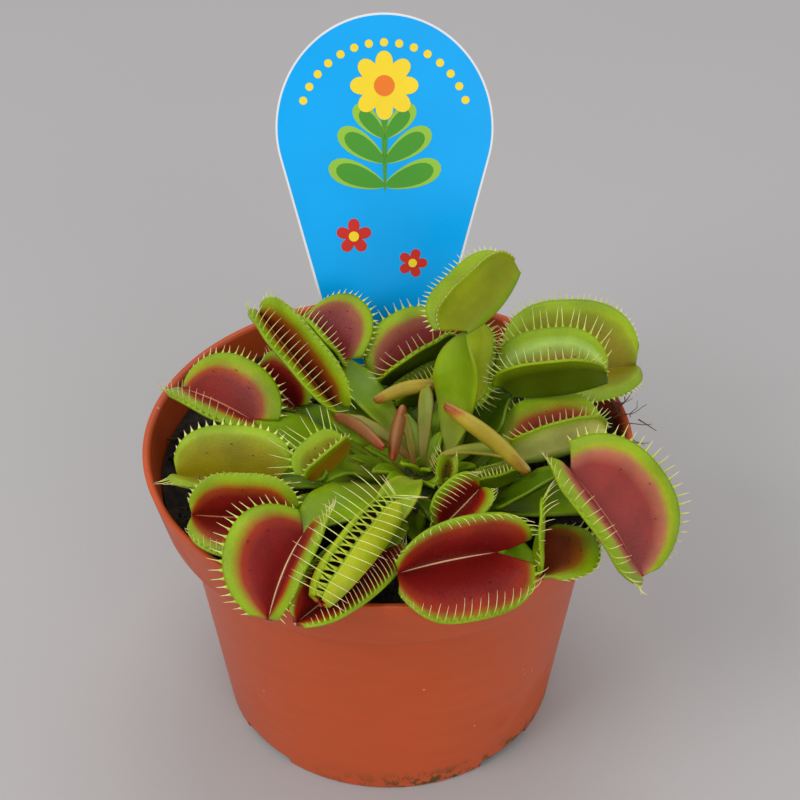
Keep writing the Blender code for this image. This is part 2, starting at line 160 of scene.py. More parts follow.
TRIGGER_SPOTS = ((15, 6), (22, 8), (29, 6))  # run and ring of the three trigger hairs on each lobe
TRIGGER_LENGTH = 1.9
TRIGGER_ROUND = 0.14
TRIGGER_SIDES = 5

# Narrow leaf bases round the crown: rise, how many, length and width of each round
SCALE_ROUNDS = ((14.0, 18, 16.0, 6.0), (40.0, 15, 15.0, 5.0), (62.0, 11, 13.0, 4.2), (80.0, 6, 10.0, 3.4))
# Low blades between the leaves: bearing, rise, length and width
LOW_BLADES = (
    (-27, 12, 38, 14), (-56, 6, 34, 10), (-88, 8, 22, 10), (-74, 14, 17, 8), (205, 10, 24, 10),
    (160, 12, 24, 9), (128, 14, 22, 9), (72, 14, 24, 10), (30, 12, 26, 9), (-8, 8, 26, 9),
)
SCALE_ROWS = 12
SCALE_ROOT = 5  # points of a blade that aren't tested against the leaves
SCALE_SEAT = 0.85  # where a blade starts, middle of the crown 0 and its skin 1
SCALE_CLEAR = 0.5

# Dry roots over the rim at the right: start, bearing, rise and length
ROOTS = (
    ((56, 6, 80.5), 8, 10, 9), ((57, 3, 80.8), -14, 4, 8), ((55, 9, 80.6), 34, 18, 7),
    ((57, 0, 81), -30, -6, 7), ((56, 7, 81), 24, 30, 8), ((57.5, -3, 81), -46, 12, 6),
    ((54, 14, 82), 48, 20, 7), ((60, 5, 81.5), 60, 25, 5), ((62, 4, 81.5), -60, -10, 5),
    ((58, 8, 81), 80, 12, 6),
)
UP = np.array([0.0, 0.0, 1.0])


class Leaf(NamedTuple):
    """One leaf: a winged stalk from the crown to the neck, and the trap that starts at the neck."""

    name: str
    ring: str  # where on the crown the stalk starts
    bearing: float  # and in which direction, degrees from +X
    neck: tuple  # where the trap's midrib starts
    heading: float  # direction of the midrib from the neck, degrees from +X
    pitch: float  # its rise
    lobes: tuple  # left and right lobe, degrees from upright about the midrib
    midrib: float  # midrib length
    width: float  # a lobe's width from the midrib to its margin
    stalk: float = 9.0  # widest part of the stalk
    arch: float = 4.0  # rise of the stalk's middle above a straight line
    sway: float = 0.0  # and its shift to the right, seen from the crown
    bulge: float = 0.06  # swell of the lobes towards each other, as a part of their width
    length: float = 1.45  # lobe length as a multiple of the midrib's
    curl: float = 1.0  # how far the midrib's ends bend towards the mouth
    skin: str = "fresh"  # colour of the outside
    lining: str = "red"  # colour of the inside
    band: float = 0.72  # where the inside turns green, hinge 0 and margin 1
    hair: tuple = (6.5, 6.5)  # length of the left and right lobe's longest cilia
    leans: tuple = (70, 70)  # and their turn towards the other lobe
    young: bool = False  # a trap that is still shut, without cilia


LEAVES = (
    # outer leaves, clockwise from the left when the label faces the viewer
    Leaf("leaf_01", "low", 168, (-33, 0.7, 85), 146, 4, (-57, 44), 17.5, 12, stalk=12, curl=-0.7, length=1.65,
         band=0.66, hair=(9, 4), leans=(66, 30)),
    Leaf("leaf_02", "low", 189, (-26, -23, 84), 170, -4, (-52, 25), 20, 13, stalk=10, arch=5,
         skin="mid", lining="olive", band=0.86, hair=(8, 2.6), leans=(40, 15)),
    Leaf("leaf_03", "low", 213, (-24, -36, 85), 180, 4, (-88, 0), 17, 12, stalk=10, arch=2,
         band=0.76, hair=(5, 3), leans=(95, 50)),
    Leaf("leaf_04", "middle", 228, (-19, -45, 90), -112, -18, (-34, 56), 17, 13.5, stalk=14, curl=-1.2,
         length=1.6, lining="deep", band=0.74, hair=(8, 4.5), leans=(50, 12)),
    Leaf("leaf_05", "high", 256, (-1, -45, 89.5), -123, -7, (-9, -7), 21, 12.5, bulge=-0.28,
         skin="yellow", hair=(10, 10), leans=(80, 80)),
    Leaf("leaf_06", "low", 246, (-2.6, -44, 81.2), -128, 2, (-62, 11), 25, 10.3, length=1.35,
         lining="deep", band=0.88, hair=(5, 4.5), leans=(112, 85)),
    Leaf("leaf_07", "low", 286, (23.5, -46.3, 84.5), -162, 3, (-103, -18), 18, 15, arch=-2, sway=-4,
         length=1.75, lining="deep", band=0.9, hair=(7.5, 5.5), leans=(104, 62)),
    Leaf("leaf_08", "low", 306, (33.6, -38, 82.3), -97, -3, (-80, -6), 13, 13.5, stalk=5, arch=-6, length=1.3,
         lining="brown", band=0.74, hair=(5.5, 8.5), leans=(60, 48)),
    Leaf("leaf_09", "low", 326, (41, -32.5, 96.5), -44, -38, (-70, 48), 24, 17, stalk=13, arch=-2, sway=5,
         curl=-1.0, skin="dark", lining="rosy", band=0.76, hair=(5.5, 8.5), leans=(28, 60)),
    # its trap colour carries a painted highlight over the pale skin
    Leaf("leaf_10", "low", 350, (30.8, -15.2, 83.2), 13, 8, (-47, 14), 19, 14.5, length=1.35,
         skin="pale_with_painted_glare", band=0.7, hair=(5, 5.5), leans=(60, 35)),
    Leaf("leaf_11", "low", 48, (34, 18, 86), 0, 1, (-40, 74), 24, 17.5, stalk=12,
         skin="mid", lining="olive", band=0.8, hair=(3.2, 3), leans=(30, 25)),
    Leaf("leaf_12", "middle", 12, (30, -3, 94), -6, 12, (-33, 20), 19, 15, stalk=11,
         skin="dark", lining="blush", band=0.66, hair=(6.5, 6), leans=(8, 45)),
    Leaf("leaf_13", "high", 25, (19, -3.2, 112.7), 36, 28, (-60, -12), 14, 13.5, stalk=13, length=1.75,
         skin="olive", lining="olive", hair=(3, 1.3), leans=(10, -25)),
    Leaf("leaf_14", "middle", 58, (16, -2, 95), 80, 40, (72, 100), 14, 8.5, stalk=6,
         skin="yellow", hair=(5, 7), leans=(50, 60)),
    Leaf("leaf_15", "low", 100, (0.5, 13, 85.3), 22, 24, (-38, 29), 18, 14.5, stalk=9, arch=0, sway=-3,
         length=1.3, skin="dark", lining="plum", band=0.8, hair=(4, 8), leans=(25, 45)),
    Leaf("leaf_16", "high", 122, (-11, 15, 92.5), 138, 16, (-30, 46), 13, 13.5, stalk=9, arch=6, sway=-5,
         curl=-0.6, skin="mid", lining="plum", band=0.82, hair=(5, 2.6), leans=(75, 10)),
    Leaf("leaf_17", "middle", 146, (-14, 3, 88), 131, 23, (-38, 2), 25, 12, stalk=12, arch=1,
         skin="mid", lining="brown", band=0.72, hair=(8.5, 6), leans=(78, 55)),
    # smaller leaves between them
    Leaf("leaf_18", "low", 150, (-23, 12, 79), 130, 14, (-50, 20), 13, 9, stalk=8,
         skin="mid", lining="deep", hair=(5, 5)),
    Leaf("leaf_19", "middle", 203, (-17, -26, 87), 42, 15, (-45, 8), 10, 8.5, stalk=6, arch=8,
         skin="rusty", lining="olive", hair=(8.5, 2.5), leans=(12, 40)),
    Leaf("leaf_20", "middle", 272, (12, -34, 80.5), 45, 15, (-8, 58), 11, 8.5, stalk=6,
         skin="dark", lining="deep", hair=(6, 4), leans=(95, 50)),
    Leaf("leaf_21", "high", 312, (13, -24.5, 83.5), 80, 10, (-15, 20), 6, 5, stalk=4, arch=2,
         lining="olive", hair=(5.5, 4), leans=(25, 50)),
    Leaf("leaf_22", "middle", 306, (21.6, -23.4, 82.8), 18, 3, (-18, 12), 7.6, 4.8, stalk=4, arch=5,
         skin="mid", lining="olive", hair=(4, 3)),
    Leaf("leaf_23", "middle", 85, (4, 6.5, 83.5), 28, 14, (-14, 14), 12, 7.5, stalk=5,
         skin="dark", lining="olive", hair=(4.5, 4)),
    # young leaves, whose shut traps are still folded back over their stalks
    Leaf("young_leaf_1", "top", 85, (9.5, 2.5, 95.5), -167, -8, (165, 195), 11, 2.4, stalk=5,
         skin="young", young=True),
    Leaf("young_leaf_2", "top", 175, (-11, -6, 92), -52, 6, (165, 195), 13, 2.0, stalk=5,
         skin="bronze", young=True),
    Leaf("young_leaf_3", "top", 230, (2.7, -11, 96), -105, -40, (165, 195), 9, 2.2, stalk=4,
         skin="bronze", young=True),
    Leaf("young_leaf_4", "top", 345, (30, -25, 94), 148, 25, (165, 195), 17, 3.0, stalk=6, arch=5,
         skin="young", young=True),
)


def unit(vector):
    return vector / norm(vector)


def direction(azimuth, rise):
    """Unit vector from an azimuth and a rise in degrees."""
    a, r = radians(azimuth), radians(rise)
    return np.array([cos(r) * cos(a), cos(r) * sin(a), sin(r)])


def course(points, index):
    """Direction of a line of points where it passes one of them."""
    return unit(points[min(index + 1, len(points) - 1)] - points[max(index - 1, 0)])


def circle(count):
    """Cosine and sine of evenly spaced turns."""
    return [(cos(a), sin(a)) for a in (2 * pi * k / count for k in range(count))]


def touches(trees, point, distance):
    """Whether a point is closer than a distance to any of the trees."""
    return any(tree.find_nearest(Vector(point), distance)[0] for tree in trees)


def adjusted(thing, **settings):
    for key, value in settings.items():
        setattr(thing, key, value)
    return thing


def rough(seed, *place):
    """Smooth seeded noise from -1 to 1."""
    return noise.noise(Vector(place) + Vector((seed * 7.31, seed * 3.17, seed * 5.71)))


# ---- materials


def linear(colour):
    """Linear colour, with alpha, of a display colour given from 0 to 255."""
    return (*(((c / 255 + 0.055) / 1.055) ** 2.4 if c > 10 else c / 255 / 12.92 for c in colour), 1)


class Shade:
    """A procedural material, put together with short calls that each return an output socket."""

    def __init__(self, name, specular=0.5, glow=0.0, depth=0.002):
        self.made = bpy.data.materials.new(name)
        self.made.use_nodes = True
        self.tree = self.made.node_tree
        self.shader = self.tree.nodes["Principled BSDF"]
        look = {"Specular IOR Level": specular, "Subsurface Weight": glow, "Subsurface Scale": depth}
        self.feed(self.shader, look)

    def feed(self, node, values):
        """Give inputs of a node their values, colours or links."""
        for key, value in values.items():
            socket = node.inputs[key]
            if isinstance(value, bpy.types.NodeSocket):
                self.tree.links.new(value, socket)
            elif socket.type == "RGBA":
                socket.default_value = linear(value)
            else:
                socket.default_value = value

    def node(self, kind, inputs, **settings):
        made = adjusted(self.tree.nodes.new("ShaderNode" + kind), **settings)
        self.feed(made, inputs)
        return made

    def attribute(self, name):
        return self.node("Attribute", {}, attribute_name=name).outputs["Fac"]

    def place(self, stretch=(1, 1, 1)):
        """Object coordinates, stretched by axis."""
        where = self.node("TexCoord", {}).outputs["Object"]
        return self.node("Mapping", {"Vector": where, "Scale": stretch}).outputs["Vector"]

    def grid(self, first, second):
        """Coordinates from two mesh attributes, each multiplied by a number."""
        parts = [self.times(self.attribute(name), by) for name, by in (first, second)]
        return self.node("CombineXYZ", {"X": parts[0], "Y": parts[1]}).outputs["Vector"]

    def noise(self, scale, detail, roughness=0.5, vector=None):
        inputs = {"Vector": vector or self.place(), "Scale": scale, "Detail": detail, "Roughness": roughness}
        return self.node("TexNoise", inputs).outputs["Fac"]

    def cells(self, scale):
        return self.node("TexVoronoi", {"Vector": self.place(), "Scale": scale}).outputs["Distance"]

    def math(self, operation, first, second=0.0, clamp=False):
        return self.node("Math", {0: first, 1: second}, operation=operation, use_clamp=clamp).outputs[0]

    def times(self, first, second):
        return self.math("MULTIPLY", first, second)

    def span(self, value, low, high, start=0.0, end=1.0):
        """A value between low and high, mapped smoothly from start to end."""
        inputs = {"Value": value, "From Min": low, "From Max": high, "To Min": start, "To Max": end}
        return self.node("MapRange", inputs, interpolation_type="SMOOTHSTEP").outputs["Result"]

    def ramp(self, value, stops):
        made = self.node("ValToRGB", {"Fac": value})
        points = made.color_ramp.elements
        while len(points) < len(stops):
            points.new(1.0)
        for point, (place, colour) in zip(points, stops):
            point.position = place
            point.color = linear(colour)
        return made.outputs["Color"]

    def mix(self, share, first, second, blend="MIX"):
        inputs = {0: share, 6: first, 7: second}
        return self.node("Mix", inputs, data_type="RGBA", blend_type=blend).outputs[2]

    def tone(self, colour, value, low, high):
        """A colour made darker and lighter by a value from 0 to 1."""
        level = self.span(value, 0.25, 0.75, low, high)
        grey = self.node("CombineColor", {"Red": level, "Green": level, "Blue": level}).outputs[0]
        return self.mix(1.0, colour, grey, "MULTIPLY")

    def bump(self, height, distance, strength=1.0):
        """Relief with a depth in millimetres."""
        inputs = {"Height": height, "Distance": distance * MM, "Strength": strength}
        return self.node("Bump", inputs).outputs["Normal"]

    def finish(self, colour, roughness, normal):
        self.feed(self.shader, {"Base Color": colour, "Roughness": roughness, "Normal": normal})
        return self.made


# Outside of a leaf, as display colours: the stalk's base, the stalk, the trap, and the edges of both
SKINS = {
    "fresh": ((150, 156, 50), (124, 156, 8), (124, 148, 6), (150, 172, 12)),
    "mid": ((130, 140, 34), (106, 138, 6), (108, 130, 6), (138, 160, 12)),
    "dark": ((100, 112, 24), (74, 102, 4), (78, 96, 4), (134, 158, 8)),
    # this skin's trap colour is lifted almost to white, a painted highlight for glare on the waxy lobe over a
    # truly pale skin
    "pale_with_painted_glare": ((160, 164, 70), (112, 142, 10), (242, 244, 134), (176, 208, 10)),
    "olive": ((150, 162, 60), (130, 160, 14), (138, 148, 10), (150, 166, 12)),
    "yellow": ((150, 160, 46), (124, 152, 8), (158, 174, 14), (186, 196, 36)),
    "rusty": ((140, 150, 50), (106, 134, 8), (140, 100, 8), (128, 152, 8)),
    "young": ((176, 166, 84), (140, 150, 46), (168, 146, 40), (150, 74, 24)),
    "bronze": ((156, 120, 66), (140, 138, 60), (134, 82, 40), (150, 44, 30)),
}

# Inside of a trap: the midrib, then the lining from the hinge out to the green rim
LININGS = {
    "red": ((196, 120, 80), (122, 22, 10), (150, 58, 6), (142, 142, 6)),
    "deep": ((222, 188, 140), (122, 16, 12), (144, 40, 8), (140, 122, 4)),
    "brown": ((170, 110, 50), (118, 44, 10), (138, 78, 8), (132, 138, 8)),
    "plum": ((176, 110, 84), (118, 34, 32), (138, 74, 46), (134, 146, 8)),
    "rosy": ((186, 112, 84), (134, 44, 38), (162, 94, 66), (146, 154, 12)),
    "olive": ((140, 112, 40), (132, 120, 2), (130, 138, 2), (140, 160, 10)),
    "blush": ((170, 120, 80), (144, 48, 44), (134, 152, 40), (160, 192, 84)),
}
RIM_GREEN = (130, 158, 6)


def skin_material(name):
    base, stalk, trap, edge = SKINS[name]
    shade = Shade("skin_" + name, 0.26, 0.08)
    run, reach, limb = shade.attribute("run"), shade.attribute("reach"), shade.attribute("limb")
    along = shade.ramp(run, ((0.0, base), (0.22, base), (0.55, stalk), (1.0, stalk)))
    lobe = shade.ramp(reach, ((0.0, stalk), (0.18, trap), (0.6, trap), (0.92, edge)))
    if name in ("young", "bronze"):
        tip = shade.math("ABSOLUTE", shade.math("SUBTRACT", run, 0.5))
        blotch = shade.math("ADD", tip, shade.times(shade.noise(260, 3), 0.5))
        lobe = shade.mix(shade.span(blotch, 0.48, 0.74), trap, edge)
        lobe = shade.mix(shade.times(shade.attribute("rib"), 0.45), lobe, base)
    colour = shade.mix(limb, along, lobe)
    wing = shade.times(shade.span(reach, 0.72, 1.0), shade.math("SUBTRACT", 1.0, limb))
    colour = shade.mix(shade.times(wing, 0.35), colour, edge)
    colour = shade.tone(colour, shade.noise(80, 3), 0.82, 1.2)
    fine = shade.noise(900, 2)
    colour = shade.tone(colour, fine, 0.97, 1.03)
    veins = shade.noise(1.0, 2, 0.5, shade.grid(("across", 16.0), ("run", 1.2)))
    relief = shade.math("ADD", shade.times(veins, 0.8), shade.times(fine, 0.3))
    glossy = shade.span(shade.noise(160, 3), 0.3, 0.7, 0.34, 0.5)
    return shade.finish(colour, glossy, shade.bump(relief, 0.3, 0.35))


def lining_material(name):
    middle, deep, outer, fringe = LININGS[name]
    shade = Shade("lining_" + name, 0.28, 0.04, 0.0015)
    wander = shade.times(shade.math("SUBTRACT", shade.noise(130, 3), 0.5), 0.1)
    at = shade.math("ADD", shade.attribute("blush"), wander, clamp=True)
    colour = shade.ramp(at, ((0.0, deep), (0.48, deep), (0.66, outer), (0.78, fringe), (0.89, RIM_GREEN)))
    colour = shade.mix(shade.span(shade.attribute("rib"), 0.15, 0.6), colour, middle)
    colour = shade.tone(colour, shade.noise(120, 3), 0.84, 1.18)
    glands = shade.cells(2600)
    dots = shade.span(glands, 0.15, 0.5)
    colour = shade.tone(colour, dots, 0.96, 1.04)
    radial = shade.noise(1.0, 2, 0.5, shade.grid(("run", 26.0), ("reach", 1.0)))
    relief = shade.math("SUBTRACT", shade.times(radial, 0.7), shade.times(dots, 0.35))
    glossy = shade.span(glands, 0.1, 0.5, 0.28, 0.48)
    return shade.finish(colour, glossy, shade.bump(relief, 0.25, 0.45))


def grainy_material(name, grain, stops, gloss, relief, depth, **settings):
    """Colours that follow one noise, with a relief that follows another."""
    shade = Shade(name, **settings)
    colour = shade.ramp(shade.noise(*grain), stops)
    return shade.finish(colour, gloss, shade.bump(shade.noise(*relief), depth))


def cilium_material():
    shade = Shade("cilium", glow=0.15, depth=0.001)
    stops = ((0.0, (140, 166, 10)), (0.2, (164, 186, 30)), (0.45, (206, 212, 110)), (0.8, (226, 216, 160)),
             (1.0, (204, 150, 118)))
    colour = shade.tone(shade.ramp(shade.attribute("run"), stops), shade.noise(400, 2), 0.82, 1.12)
    return shade.finish(colour, 0.42, shade.bump(shade.noise(2500, 2), 0.04))


def pot_material():
    shade = Shade("terracotta_plastic", 0.4)
    split = shade.node("SeparateXYZ", {"Vector": shade.place()})
    height = split.outputs["Z"]
    colour = shade.ramp(shade.noise(14, 4), ((0.3, (182, 72, 24)), (0.7, (194, 78, 27))))
    streaks = shade.noise(60, 5, 0.6, shade.place((1, 1, 6)))
    colour = shade.tone(colour, streaks, 0.96, 1.04)
    # sparse specks and short pale scratches
    speck = shade.times(shade.span(shade.cells(150), 0.07, 0.03), shade.span(shade.noise(45, 2), 0.5, 0.54))
    scratch = shade.span(shade.noise(110, 3, 0.7, shade.place((1, 1, 7))), 0.755, 0.78)
    worn = shade.times(shade.math("MAXIMUM", speck, scratch), 0.6)
    colour = shade.mix(worn, colour, (224, 178, 150))
    # algae and dirt along the foot, mostly on the right
    foot = shade.span(height, 0.0085, 0.0015)
    side = shade.span(split.outputs["X"], -0.03, 0.012, 0.0, 1.0)
    ragged = shade.span(shade.noise(300, 6, 0.75), 0.49, 0.56)
    algae = shade.times(shade.times(foot, side), ragged)
    colour = shade.mix(shade.times(algae, 0.95), colour, (62, 62, 16))
    dust = shade.span(shade.noise(35, 4), 0.52, 0.75)
    glossy = shade.span(shade.math("MAXIMUM", algae, dust), 0.0, 1.0, 0.4, 0.6)
    lines = shade.noise(8, 2, 0.5, shade.place((0.3, 0.3, 160)))
    relief = shade.math("ADD", shade.times(lines, 0.3), shade.times(shade.noise(700, 4), 0.25))
    return shade.finish(colour, glossy, shade.bump(relief, 0.08, 0.5))


def peat_material():
    shade = Shade("peat", 0.25)
    stops = ((0.25, (14, 12, 9)), (0.5, (30, 25, 18)), (0.66, (56, 44, 30)), (0.8, (26, 22, 16)))
    colour = shade.ramp(shade.noise(420, 5, 0.65), stops)
    colour = shade.tone(colour, shade.noise(60, 3), 0.6, 1.2)
    damp = shade.span(shade.noise(90, 3), 0.35, 0.65, 0.6, 0.95)
    return shade.finish(colour, damp, shade.bump(shade.noise(900, 6, 0.7), 0.7))


def print_material(name, colour):
    """Ink on the plastic label, a little uneven and lightly scratched."""
    shade = Shade("print_" + name, 0.2)
    made = shade.tone(colour, shade.noise(30, 3), 0.94, 1.05)
    scratch = shade.noise(300, 5, 0.7, shade.place((6, 1, 1)))
    made = shade.mix(shade.span(scratch, 0.7, 0.9, 0.0, 0.25), made, (225, 228, 230))
    glossy = shade.span(shade.noise(50, 3), 0.3, 0.7, 0.26, 0.4)
    return shade.finish(made, glossy, shade.bump(scratch, 0.02))


def floor_material():
    shade = Shade("pale_floor", 0.2)
    colour = shade.tone((174, 172, 172), shade.noise(3, 2), 0.985, 1.015)
    return shade.finish(colour, 0.85, shade.bump(shade.noise(500, 3), 0.03))


# ---- leaf geometry


def crown_seat(leaf):
    """Start point of a stalk, just off the crown's surface, and the direction that it leaves in."""
    way = direction(leaf.bearing, RING_LATITUDE[leaf.ring])
    normal = unit(way / CROWN_SIZE)
    return CROWN_MIDDLE + way * CROWN_SIZE + normal * CROWN_GAP, normal


class Trap:
    """Directions of a trap: along the midrib, to its right, and out of its mouth."""

    def __init__(self, leaf):
        self.leaf = leaf
        self.along = direction(leaf.heading, leaf.pitch)
        self.upright = unit(UP - self.along * self.along[2])
        self.right = np.cross(self.along, self.upright)
        self.mouth = self.around(sum(leaf.lobes) / 2)
        self.side = self.around(sum(leaf.lobes) / 2 + 90)
        self.centre = np.array(leaf.neck, float) + self.along * leaf.midrib / 2

    def around(self, angle):
        """Direction at an angle about the midrib, 0 upright and 90 to the right."""
        a = radians(angle)
        return self.upright * cos(a) + self.right * sin(a)

    def on_midrib(self, along):
        """Point of the curled midrib at a distance from its middle."""
        bend = self.leaf.curl * (2 * along / self.leaf.midrib) ** 2
        return self.centre + self.along * along + self.mouth * bend


class Sheet:
    """Open surface of one leaf: its points with their tones, and its faces with their material."""

    def __init__(self, seed):
        self.seed = seed
        self.points = []
        self.tones = {"run": [], "reach": [], "limb": [], "across": [], "blush": [], "rib": []}
        self.stout = []
        self.faces = []
        self.inner = []
        self.spots = []

    def add(self, point, run, reach, limb, across, stout=1.0, blush=0.0, rib=0.0):
        self.points.append(np.array(point, float))
        for name, value in zip(self.tones, (run, reach, limb, across, blush, rib)):
            self.tones[name].append(float(value))
        self.stout.append(stout)
        return len(self.points) - 1

    def strip(self, lower, upper, flip=False, inner=False):
        """Quads between two lines of points."""
        for k in range(len(lower) - 1):
            corners = (lower[k], lower[k + 1], upper[k + 1], upper[k])
            self.faces.append(corners[::-1] if flip else corners)
            self.inner.append(inner)

    def tree(self):
        return BVHTree.FromPolygons([Vector(p) for p in self.points], self.faces)


def stalk_width(leaf, t):
    """Width of the stalk at t from 0 at the crown to 1 at the neck; a young leaf's wings are rolled in."""
    rolled = YOUNG_STALK if leaf.young else 1.0
    return (STALK_NARROW + (leaf.stalk - STALK_NARROW) * sin(pi * t**1.7) ** 0.8) * rolled


def stalk_lines(leaf, trap, sheet):
    """Cross lines of the stalk's points, up to the one before the neck."""
    start, leaving = crown_seat(leaf)
    neck = trap.on_midrib(-leaf.midrib / 2)
    chord = neck - start
    across = unit(np.array([chord[1], -chord[0], 0.0]))
    first = start + leaving * norm(chord) * 0.3
    second = start + chord * 0.62 + across * leaf.sway + UP * leaf.arch
    outward = unit((neck - CROWN_MIDDLE) * [1, 1, 0])
    lines = []
    for i in range(STALK_ROWS):
        t = i / STALK_ROWS
        s = 1 - t
        point = s**3 * start + 3 * s * s * t * first + 3 * s * t * t * second + t**3 * neck
        tangent = unit(s * s * (first - start) + 2 * s * t * (second - first) + t * t * (neck - second))
        side = unit(np.cross(tangent, UP - 0.5 * outward))
        turn = max(0.0, (t - 0.6) / 0.4) ** 2
        side = unit(side * (1 - turn) + trap.side * turn)
        upward = np.cross(side, tangent)
        line = []
        for c in np.linspace(-1, 1, STALK_COLUMNS + 1):
            ruffle = rough(sheet.seed, t * 7, c, 0) * 0.5 * c * c * min(1, 6 * s)
            half = stalk_width(leaf, t) / 2 * (1 + 0.05 * rough(sheet.seed, t * 9, c * 2, 5))
            lift = half * STALK_TROUGH * abs(c) ** 1.3 + ruffle
            place = point + side * half * c + upward * lift
            line.append(sheet.add(place, t, abs(c), 0.0, c, 1.0 - 0.5 * c * c))
        lines.append(line)
    return lines


def leaf_sheet(leaf, seed):
    """A leaf's whole surface, and the margin of each lobe as (point, way out, way in) triples."""
    sheet = Sheet(seed)
    trap = Trap(leaf)
    lines = stalk_lines(leaf, trap, sheet)
    far = (leaf.length - 1) * (YOUNG_TIP if leaf.young else MIDRIB_TIP)
    near = far if leaf.young else 0.0
    for i in range(LOBE_RUNS + 1):
        share = i / LOBE_RUNS
        point = trap.on_midrib(leaf.midrib * (share * (1 + near + far) - 0.5 - near))
        slim = sin(pi * (0.04 + 0.92 * share)) ** (0.7 if leaf.young else 0.25)
        line = []
        for c in np.linspace(-1, 1, STALK_COLUMNS + 1):
            place = point + trap.side * c * slim * HINGE_WIDTH / 2 - trap.mouth * KEEL * (1 - c * c)
            limb, rib = min(1.0, 5 * share), max(0.0, 1 - abs(c) / 0.7)
            line.append(sheet.add(place, share, 0.5 * leaf.young, limb, c, rib=rib))
        lines.append(line)
    for i, (lower, upper) in enumerate(zip(lines, lines[1:])):
        sheet.strip(lower, upper, inner=i >= STALK_ROWS)
    hinge = lines[STALK_ROWS:]
    margins = [
        add_lobe(sheet, leaf, trap, -1, [line[0] for line in hinge]),
        add_lobe(sheet, leaf, trap, 1, [line[-1] for line in hinge]),
    ]
    return sheet, margins


def add_lobe(sheet, leaf, trap, side, hinge):
    """One lobe, from its points on the midrib out to its margin; side is -1 for left and 1 for right."""
    young = leaf.young
    angle = leaf.lobes[side > 0]
    if young:
        angle = 180 + 0.1 * (angle - 180)
    outward = trap.around(angle)
    inward = trap.around(angle - 90 * side)
    bulge = YOUNG_BULGE if young else leaf.bulge
    end = radians(YOUNG_END if young else LOBE_END)
    lines = []
    for i, root in enumerate(hinge):
        share = i / LOBE_RUNS
        turn = pi - end - (pi - 2 * end) * share
        along = leaf.midrib / 2 * leaf.length * copysign(abs(cos(turn)) ** 0.85, cos(turn))
        width = leaf.width * sin(turn) ** 0.8
        start = sheet.points[root]
        apart = HINGE_WIDTH / 2 * (sin(turn) if young else 1)
        tip = trap.on_midrib(along) + outward * width + trap.side * side * apart
        swell = inward * bulge * sqrt(width * leaf.width)
        line = [root]
        for ring in range(1, LOBE_RINGS + 1):
            r = 1 - (1 - ring / LOBE_RINGS) ** 1.25
            flare = max(0.0, (r - RIM_START) / (1 - RIM_START)) ** 2 * RIM_FLARE * width * (not young)
            wave = rough(sheet.seed, share * 5, r * 1.5, 3 * side) * LOBE_WAVE * leaf.width * r * r
            place = start + (tip - start) * r + swell * sin(pi * r) + inward * (wave - flare)
            left = (1 - r) * norm(tip - start) / leaf.width
            green = max(r, 1 - left)
            blush = np.interp(green, (0, leaf.band, 1), (0, 0.7, 1))
            line.append(sheet.add(place, share, r, 1.0, share * 2, 1.0 - 0.35 * r, blush))
        lines.append(line)
    for line, after in zip(lines, lines[1:]):
        sheet.strip(line, after, side < 0, inner=True)
    if not young:
        sheet.spots += [(sheet.points[lines[run][ring]], inward) for run, ring in TRIGGER_SPOTS]
    rim = [sheet.points[line[-1]] for line in lines]
    before = [sheet.points[line[-3]] for line in lines]
    triples = []
    for i, point in enumerate(rim):
        edge = course(rim, i)
        straight = unit(point - before[i])
        out = unit(straight - edge * np.dot(straight, edge) * 0.6)
        triples.append((point, out, inward))
    return triples


# ---- cilia


class Cilium(NamedTuple):
    """One hair of a margin: its root, the direction along the margin, out of the lobe and inwards."""

    root: np.ndarray
    edge: np.ndarray
    out: np.ndarray
    inward: np.ndarray
    length: float
    base: float
    scale: float
    ease: float  # share of the lobe's lean that it keeps


def cilia_of(leaf, margin, side, seed):
    """Hairs of one margin, evenly spaced along it."""
    points = np.array([triple[0] for triple in margin])
    steps = norm(np.diff(points, axis=0), axis=1)
    reached = np.concatenate([[0], np.cumsum(steps)])
    spacing = 0.15 + 0.05 * leaf.width + 0.12 * max(leaf.hair)
    count = int(reached[-1] / spacing)
    found = []
    for k in range(count):
        at = (k + (0.3 if side < 0 else 0.7)) / count
        i = int(np.searchsorted(reached, at * reached[-1]))
        i = min(max(i, 1), len(points) - 2)
        share = (at * reached[-1] - reached[i - 1]) / steps[i - 1]
        point = points[i - 1] + (points[i] - points[i - 1]) * share
        edge = course(points, i)
        out, inward = margin[i][1], margin[i][2]
        out = unit(out + edge * rough(seed, k * 1.7, side, 1) * 0.3)
        length = leaf.hair[side > 0] * (0.55 + 0.45 * sin(pi * at) ** 0.7)
        length *= 1 + 0.28 * rough(seed, k * 2.3, side, 8)
        scale = 0.7 + 0.022 * leaf.width
        ease = 1 - 0.5 * (2 * at - 1) ** 2
        found.append(Cilium(point - out * 0.5, edge, out, inward, length, spacing * 0.46, scale, ease))
    return found


def cilium_path(cilium, lean, length):
    """Points of a hair that turns steadily inwards from the lobe's own direction."""
    point = cilium.root.copy()
    path = [point.copy()]
    for k in range(CILIUM_RINGS):
        turn = radians(lean) * cilium.ease * (0.72 + 0.45 * (k + 0.5) / CILIUM_RINGS)
        point = point + (cilium.out * cos(turn) + cilium.inward * sin(turn)) * length / CILIUM_RINGS
        path.append(point.copy())
    return path


def free_path(cilium, lean, trees):
    """The hair's path, turned or cut short where it would meet another leaf."""
    best, reach = None, -1
    for change in CILIUM_TURNS:
        path = cilium_path(cilium, lean + change, cilium.length)
        clear = 0
        for point in path[1:]:
            if touches(trees, point, CILIUM_CLEAR):
                break
            clear += 1
        if clear > reach:
            best, reach = path, clear
        if clear >= CILIUM_ENOUGH:
            break
    if reach < 2:
        return None
    if reach < CILIUM_RINGS:
        whole, marks = np.array(best), np.arange(CILIUM_RINGS + 1)
        best = [np.array([np.interp(e, marks, whole[:, axis]) for axis in range(3)])
                for e in np.linspace(0, reach, CILIUM_RINGS + 1)]
    return best


